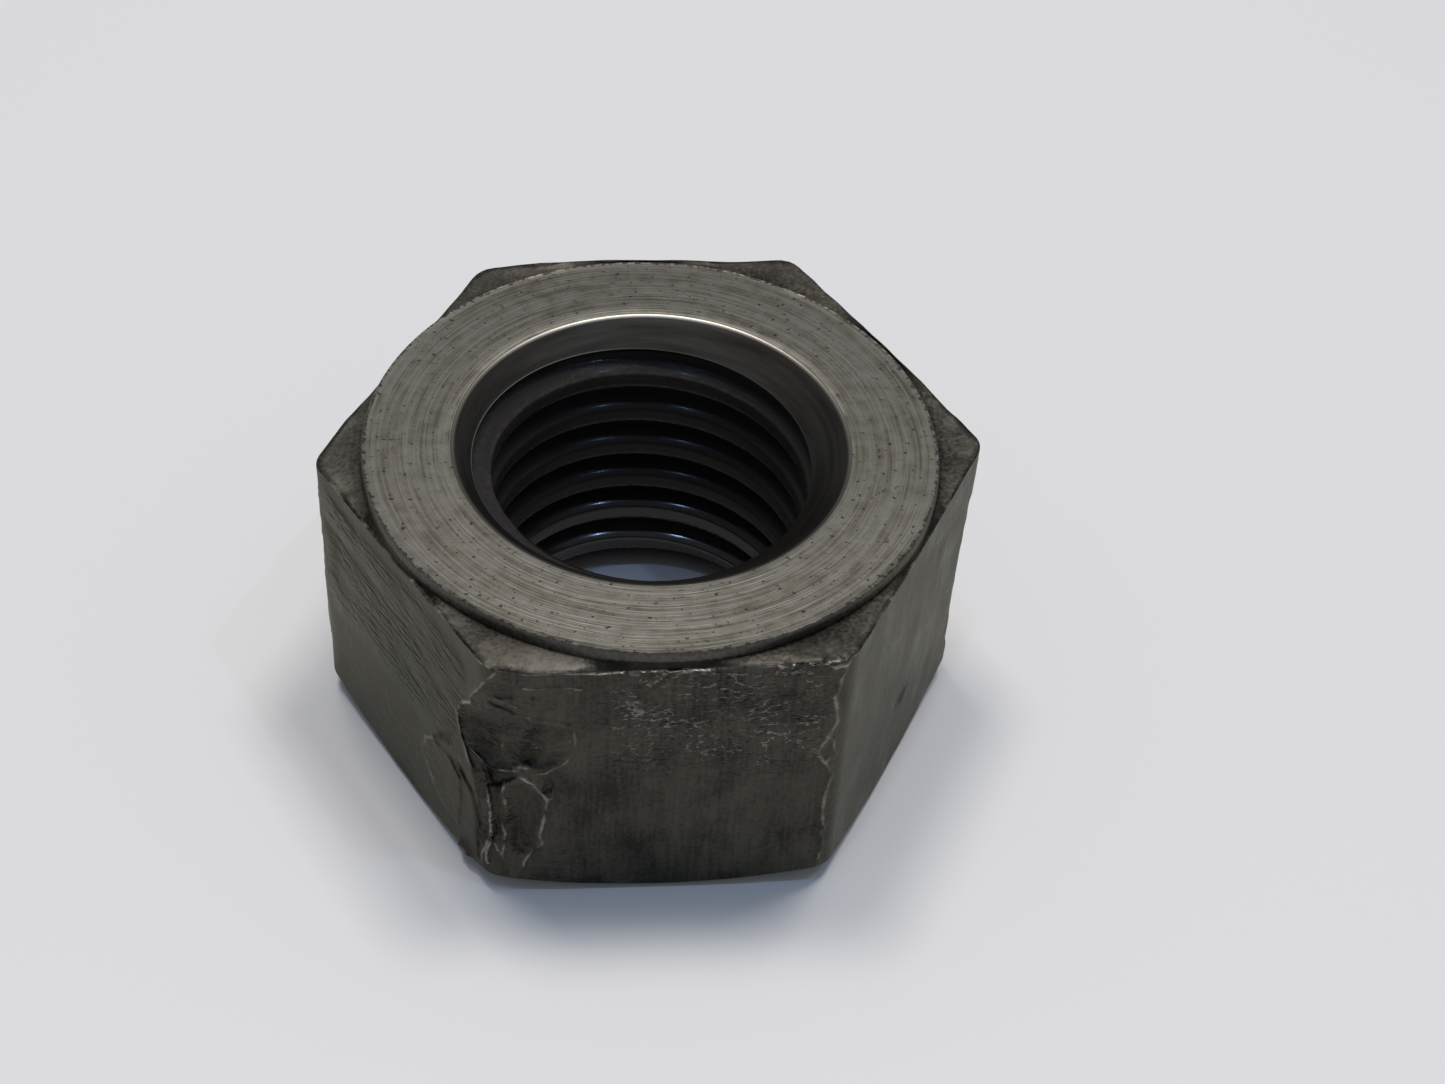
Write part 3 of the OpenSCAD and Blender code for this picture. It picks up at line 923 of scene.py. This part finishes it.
class HEXNUT_OT_nut(bpy.types.Operator):
    """Build the worn nut"""

    bl_idname = "hexnut.nut"
    bl_label = "Hexagon Nut"

    def execute(self, context):
        sizes, look = context.scene.hexnut_sizes, context.scene.hexnut_finish
        mesh = nut_mesh(sizes)
        nut = bpy.data.objects.new("worn_nut", mesh)
        context.scene.collection.objects.link(nut)
        for material in (forged_steel(look), turned_steel(look, sizes), countersunk_steel(look),
                         cut_thread(look, sizes)):
            mesh.materials.append(material)
        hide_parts("hex_nut")
        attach(nut, "root")
        return {"FINISHED"}


def aim(place, target):
    """Turn that points an object's -Z from a place to a target."""
    return (Vector(target) - Vector(place)).to_track_quat("-Z", "Y")


def add_lamp(name, place, target, size, power, colour):
    """A soft square lamp."""
    lamp = bpy.data.lights.new(name, "AREA")
    lamp.shape = "RECTANGLE"
    lamp.size = lamp.size_y = size
    lamp.energy = power
    lamp.color = linear(colour)[:3]
    shown = bpy.data.objects.new(name, lamp)
    shown.location = place
    shown.rotation_mode = "QUATERNION"
    shown.rotation_quaternion = aim(place, target)
    bpy.context.scene.collection.objects.link(shown)


class HEXNUT_OT_stage(bpy.types.Operator):
    """Build the floor, lamps and camera"""

    bl_idname = "hexnut.stage"
    bl_label = "Studio Stage"

    def execute(self, context):
        look = context.scene.hexnut_stage
        scene = context.scene
        scene.view_settings.view_transform = "Standard"
        mesh = bpy.data.meshes.new("floor")
        corners = [(-1, -1, 0), (1, -1, 0), (1, 1, 0), (-1, 1, 0)]
        mesh.from_pydata([Vector(corner) * FLOOR_REACH for corner in corners], [], [(0, 1, 2, 3)])
        mesh.materials.append(begin("Painted board", look.floor, 0.5, 0.0)[0])
        floor = bpy.data.objects.new("floor", mesh)
        scene.collection.objects.link(floor)
        world = bpy.data.worlds.new("Surround")
        world.use_nodes = True
        sky = world.node_tree.nodes["Background"]
        sky.inputs["Color"].default_value = linear(look.surround)
        sky.inputs["Strength"].default_value = look.surround_strength
        scene.world = world
        nut = (0, 0, HIGHEST.z / 2)
        for name, place, size, share, colour in LAMPS:
            add_lamp(name, place, nut, size, share * look.lamp_power, colour)
        add_camera(scene)
        return {"FINISHED"}


def add_camera(scene):
    """The camera looks down at the front of the nut, a little from its left."""
    tilt, roll, swing = [math.radians(turn) for turn in CAMERA_TURN]
    lens = bpy.data.cameras.new("Camera")
    lens.sensor_width = 36
    lens.lens = CAMERA_LENS
    lens.clip_start, lens.clip_end = 0.01, 10
    forward = Vector((0, math.cos(tilt), -math.sin(tilt)))
    across, above = Vector((1, 0, 0)), Vector((0, math.sin(tilt), math.cos(tilt)))
    right = across * math.cos(roll) + above * math.sin(roll)
    up = above * math.cos(roll) - across * math.sin(roll)
    place = (right * CAMERA_PLACE[0] + up * CAMERA_PLACE[1] - forward * CAMERA_PLACE[2]) * MM
    axes = Matrix((right, up, -forward)).transposed().to_4x4()
    camera = bpy.data.objects.new("Camera", lens)
    camera.matrix_world = Matrix.Rotation(swing, 4, "Z") @ Matrix.Translation(place) @ axes
    scene.collection.objects.link(camera)
    scene.camera = camera


class HEXNUT_PT_panel(bpy.types.Panel):
    """Sizes, finishes and stage of the nut"""

    bl_label = "Hex Nut"
    bl_idname = "HEXNUT_PT_panel"
    bl_space_type = "VIEW_3D"
    bl_region_type = "UI"
    bl_category = "Hex Nut"

    def draw(self, context):
        for group in (context.scene.hexnut_sizes, context.scene.hexnut_finish,
                      context.scene.hexnut_stage):
            column = self.layout.column()
            for name in group.__annotations__:
                column.prop(group, name)
        self.layout.operator(HEXNUT_OT_nut.bl_idname)
        self.layout.operator(HEXNUT_OT_stage.bl_idname)


CLASSES = (NutSizes, NutFinish, StageLook, HEXNUT_OT_nut, HEXNUT_OT_stage, HEXNUT_PT_panel)


def register():
    for cls in CLASSES:
        bpy.utils.register_class(cls)
    bpy.types.Scene.hexnut_sizes = PointerProperty(type=NutSizes)
    bpy.types.Scene.hexnut_finish = PointerProperty(type=NutFinish)
    bpy.types.Scene.hexnut_stage = PointerProperty(type=StageLook)


def unregister():
    del bpy.types.Scene.hexnut_sizes
    del bpy.types.Scene.hexnut_finish
    del bpy.types.Scene.hexnut_stage
    for cls in reversed(CLASSES):
        bpy.utils.unregister_class(cls)


def main():
    register()
    bpy.ops.hexnut.nut()
    bpy.ops.hexnut.stage()


if __name__ == "__main__":
    main()
